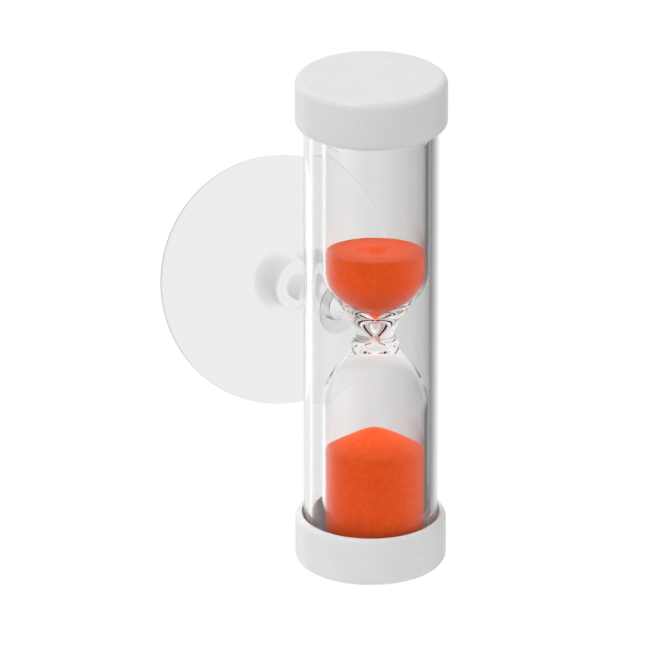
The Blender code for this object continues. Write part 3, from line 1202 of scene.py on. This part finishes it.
@dataclass
class Studio:
    """A plain pale floor, a room of soft light, one lamp and a camera.

    The room is one sphere of light whose brightness depends on the direction in the world, in degrees
    round from straight ahead of the camera, and on how a ray came to see it:

    - seen_once and seen_through: through a thin clear wall, and through the tube or the vial as well;
    - mirrored and mirrored_deep: in a surface, and in one that lies inside the tube;
    - light_bent: instead of either deep one, where the way rises or falls unlike the camera's;
    - light and light_inside: by dull surfaces in the open, and by those behind clear ones;
    - white: by the camera, straight.
    """

    azimuth: float = -40.0
    elevation: float = 22.8
    distance: float = 1.6
    lens: float = 538.7
    sensor: float = 36.0
    aim_right: float = -7.57 * MM
    aim_up: float = -1.0 * MM

    white: float = 1.06
    light: Glow = Glow(0.715, 0.09, 0.18, 0.0)
    light_inside: Glow = Glow(3.05, 1.55, 0.0, 1.1)
    light_bent: Glow = Glow(0.84, 0.3, 0.15, 0.0)
    seen_once: Shade = Shade(-180, 180, (
        (-180, 0.8), (-75, 0.8), (-55, 0.45), (-30, 0.35), (-15, 0.74), (-4, 0.885), (4, 0.885), (15, 0.74),
        (30, 0.35), (55, 0.45), (75, 0.8), (180, 0.8)))
    seen_through: Shade = Shade(-90, 90, (
        (-90, 0.9), (-40, 1.02), (-18, 0.96), (-5, 0.88), (0, 0.755), (5, 0.66), (10, 0.57), (16, 0.46),
        (24, 0.26), (34, 0.17), (46, 0.17), (62, 0.5), (90, 0.7)))
    mirrored: Shade = Shade(-180, 180, (
        (-180, 0.02), (-135, 0.05), (-105, 0.3), (-78, 0.3), (-50, 1.1), (-40, 0.95), (-32, 0.75), (-24, 0.87),
        (-10, 0.9), (10, 0.9), (18, 0.75), (27, 0.55), (36, 0.4), (46, 0.27), (60, 0.2), (80, 0.3), (105, 0.3),
        (135, 0.05), (180, 0.02)))
    mirrored_deep: Shade = Shade(-180, 180, (
        (-180, 0.42), (-100, 0.42), (-60, 0.9), (-45, 1.1), (-10, 1.1), (0, 0.6), (9, 0.3), (20, 0.15),
        (45, 0.13), (70, 0.3), (100, 0.42), (180, 0.42)))
    deep: float = 2.5  # clear surfaces passed: two through a thin wall, three or more through the tube
    bent: tuple[float, float] = (0.05, 0.16)  # change in a way's rise where bending starts, and is full
    clear_bounces: int = 24
    all_bounces: int = 28

    floor_light: Shade = Shade(0, 120 * MM, (
        (0, 0.8), (13 * MM, 0.84), (20 * MM, 0.86), (35 * MM, 0.86), (120 * MM, 0.65)))
    floor_half: float = 3.0
    floor_drop: float = 0.2 * MM
    floor_grey: float = 0.8
    floor_shadow: float = 0.1  # the share of real shading in the camera's view of the floor

    lamp_way: tuple[float, float, float] = (-0.35, -0.3, 1.0)  # right, ahead and up
    lamp_aim: float = 45.0 * MM
    lamp_distance: float = 0.8
    lamp_size: float = 0.2
    lamp_power: float = 0.8

    def __post_init__(self) -> None:
        """Works out the camera's directions."""
        a, e = math.radians(self.azimuth), math.radians(self.elevation)
        self.back = Vector((math.sin(a) * math.cos(e), -math.cos(a) * math.cos(e), math.sin(e)))
        self.right = Vector((math.cos(a), math.sin(a), 0))
        self.up = self.back.cross(self.right)
        self.ahead = Vector((-math.sin(a), math.cos(a), 0))

    def camera(self) -> None:
        """Sets the camera up, aimed beside the timer's middle so that the cup fits in the picture."""
        low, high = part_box("outer_tube")
        middle = Vector((0, 0, (low.z + high.z) / 2))
        target = middle + self.right * self.aim_right + self.up * self.aim_up
        data = bpy.data.cameras.new("view")
        data.lens, data.sensor_width = self.lens, self.sensor
        data.clip_start, data.clip_end = 0.01, 50.0
        made = bpy.data.objects.new("view", data)
        turn = Matrix((self.right, self.up, self.back)).transposed().to_4x4()
        made.matrix_world = Matrix.Translation(target + self.back * self.distance) @ turn
        bpy.context.collection.objects.link(made)
        bpy.context.scene.camera = made

    def floor(self) -> None:
        """Lays the floor: white as a light table, with the faintest shadow, and bright round the timer's foot.

        Formula: a square plane. The light that it throws back depends on the distance from the origin.
        """
        mesh = bpy.data.meshes.new("floor")
        half = self.floor_half
        mesh.from_pydata([(-half, -half, 0), (half, -half, 0), (half, half, 0), (-half, half, 0)], [],
                         [(0, 1, 2, 3)])
        floor = bpy.data.objects.new("floor", mesh)
        floor.location.z = -self.floor_drop
        floor.visible_transmission = floor.visible_glossy = False
        bpy.context.collection.objects.link(floor)
        material, bench, shader, place = principled("pale_floor")
        grey = self.floor_grey
        bench.feed_all(shader, {"Base Color": (grey, grey, grey, 1), "Roughness": 0.9})
        seen = bench.node("ShaderNodeLightPath").outputs["Is Camera Ray"]
        away = bench.node("ShaderNodeVectorMath", {"0": place}, operation="LENGTH").outputs["Value"]
        strength = bench.between(seen, self.floor_light.over(bench, away), self.white)
        glow = bench.node("ShaderNodeEmission", {"Color": (1, 1, 1, 1), "Strength": strength})
        share = bench.maths("MULTIPLY_ADD", seen, -self.floor_shadow, 1.0)
        mix = bench.node("ShaderNodeMixShader", {"Fac": share, "1": shader.outputs[0], "2": glow.outputs[0]})
        output = next(node for node in material.node_tree.nodes if node.type == "OUTPUT_MATERIAL")
        bench.feed(output.inputs["Surface"], mix.outputs[0])
        mesh.materials.append(material)

    def room(self) -> None:
        """Sets the room's light up, with a brightness for each way in which it can be seen."""
        world = bpy.data.worlds.new("studio")
        world.use_nodes = True
        world.cycles.sampling_method = "NONE"
        bpy.context.scene.world = world
        bench = Bench(world.node_tree)
        way = bench.node("ShaderNodeTexCoord").outputs["Generated"]
        right, ahead, up = (bench.along(way, axis) for axis in (self.right, self.ahead, Vector((0, 0, 1))))
        degrees = bench.maths("DEGREES", bench.maths("ARCTAN2", right, ahead))
        once, through, mirror, mirror_deep = (
            shade.over(bench, degrees)
            for shade in (self.seen_once, self.seen_through, self.mirrored, self.mirrored_deep))
        outside, inside, bent = (
            glow.over(bench, up, right, ahead) for glow in (self.light, self.light_inside, self.light_bent))
        change = bench.maths("ABSOLUTE", bench.maths("ADD", up, self.back.z))
        bending = bench.ranged(change, *self.bent)
        path = bench.node("ShaderNodeLightPath").outputs
        deep = bench.maths("GREATER_THAN", path["Transmission Depth"], self.deep)
        shone = bench.between(path["Is Transmission Ray"], outside, inside)
        result = bench.between(deep, once, bench.between(bending, through, bent))
        mirror = bench.between(deep, mirror, bench.between(bending, mirror_deep, bent))
        for test, other in (("Glossy Depth", mirror), ("Diffuse Depth", shone), ("Is Camera Ray", self.white)):
            result = bench.between(bench.maths("GREATER_THAN", path[test], 0.5), result, other)
        background = world.node_tree.nodes["Background"]
        bench.feed_all(background, {"Color": (1, 1, 1, 1), "Strength": result})

    def lamp(self) -> None:
        """Hangs the soft square lamp over the timer's left shoulder, facing it."""
        data = bpy.data.lights.new("overhead", "AREA")
        data.shape, data.size, data.energy = "SQUARE", self.lamp_size, self.lamp_power
        lamp = bpy.data.objects.new("overhead", data)
        right, ahead, up = self.lamp_way
        way = (self.right * right + self.ahead * ahead + Vector((0, 0, up))).normalized()
        lamp.location = Vector((0, 0, self.lamp_aim)) + way * self.lamp_distance
        lamp.rotation_euler = way.to_track_quat("Z", "Y").to_euler()
        lamp.visible_camera = lamp.visible_transmission = False
        bpy.context.collection.objects.link(lamp)

    def build(self) -> None:
        """Sets up the floor, the room, the lamp and the camera."""
        self.floor()
        self.room()
        self.lamp()
        self.camera()
        scene = bpy.context.scene
        scene.view_settings.view_transform = "Standard"
        scene.cycles.transmission_bounces = scene.cycles.glossy_bounces = self.clear_bounces
        scene.cycles.max_bounces = self.all_bounces


def main() -> None:
    """Builds every sub-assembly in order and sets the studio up."""
    logging.basicConfig(level=logging.INFO, format="%(name)s: %(message)s")
    shop = Workshop(Groups(make_handling_group(), make_grain_group()))
    Studio().build()
    for part in (EndCaps(), ClearTube(), Vial(), Pads(), SuctionCup()):
        part.build(shop)
        log.info("%s built", type(part).__name__)


if __name__ == "__main__":
    main()
